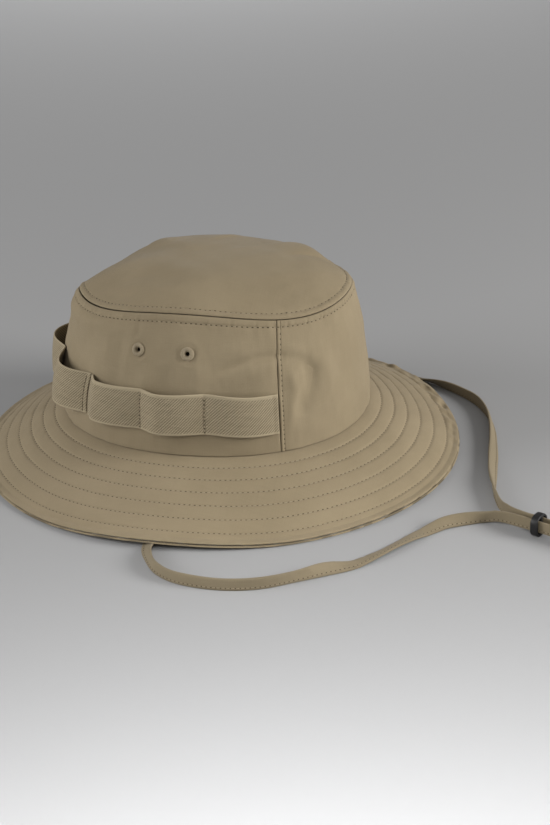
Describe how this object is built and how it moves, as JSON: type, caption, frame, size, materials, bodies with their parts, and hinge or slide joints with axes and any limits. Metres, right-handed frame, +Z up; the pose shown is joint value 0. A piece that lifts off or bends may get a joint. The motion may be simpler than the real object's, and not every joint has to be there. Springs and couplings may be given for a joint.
{
  "type": "boonie hat",
  "caption": "Wide-brimmed soft sun hat with an oval crown, a row-stitched brim, a looped webbing band, and a chin strap with a slider, standing on its brim.",
  "frame": {"origin": "on the surface that the brim stands on, below the centre of the brim's edge", "axes": "+Z up, the front of the hat at -Y, the wearer's right side at -X"},
  "size_m": [0.3341, 0.4938, 0.1398],
  "materials": {
    "shell_fabric": "khaki, fine plain-woven shell fabric, matt with a faint sheen",
    "elastic_webbing": "khaki ribbed elastic webbing with plain edges",
    "binding_tape": "khaki grosgrain binding tape",
    "sweatband_fabric": "khaki soft knit with a row of stitching",
    "label_fabric": "plain woven label without lettering",
    "interlining": "stiff white interlining, hidden",
    "thread": "khaki sewing thread",
    "black_plastic": "black moulded plastic, satin"
  },
  "bodies": {
    "hat": {"crown_top_panel": "shell_fabric", "crown_front_panel": "shell_fabric", "crown_right_panel": "shell_fabric", "crown_left_panel": "shell_fabric", "top_seam_tape": "binding_tape", "front_right_seam_tape": "binding_tape", "front_left_seam_tape": "binding_tape", "back_seam_tape": "binding_tape", "right_front_eyelet": "thread", "right_rear_eyelet": "thread", "left_front_eyelet": "thread", "left_rear_eyelet": "thread", "right_webbing": "elastic_webbing", "back_webbing": "elastic_webbing", "left_webbing": "elastic_webbing", "brim_top_layer": "shell_fabric", "brim_interlining": "interlining", "brim_under_layer": "shell_fabric", "brim_seam_binding": "binding_tape", "sweatband": "sweatband_fabric", "plain_label": "label_fabric", "right_strap_anchor": "shell_fabric", "left_strap_anchor": "shell_fabric", "chin_strap": "shell_fabric"},
    "slider": {"strap_slider": "black_plastic"}
  },
  "joints": [
    {"name": "slider_slide", "type": "slide", "parent": "hat", "child": "slider", "axis": [-0.37, -0.929, 0], "range_m": [-0.006, 0.02]}
  ]
}
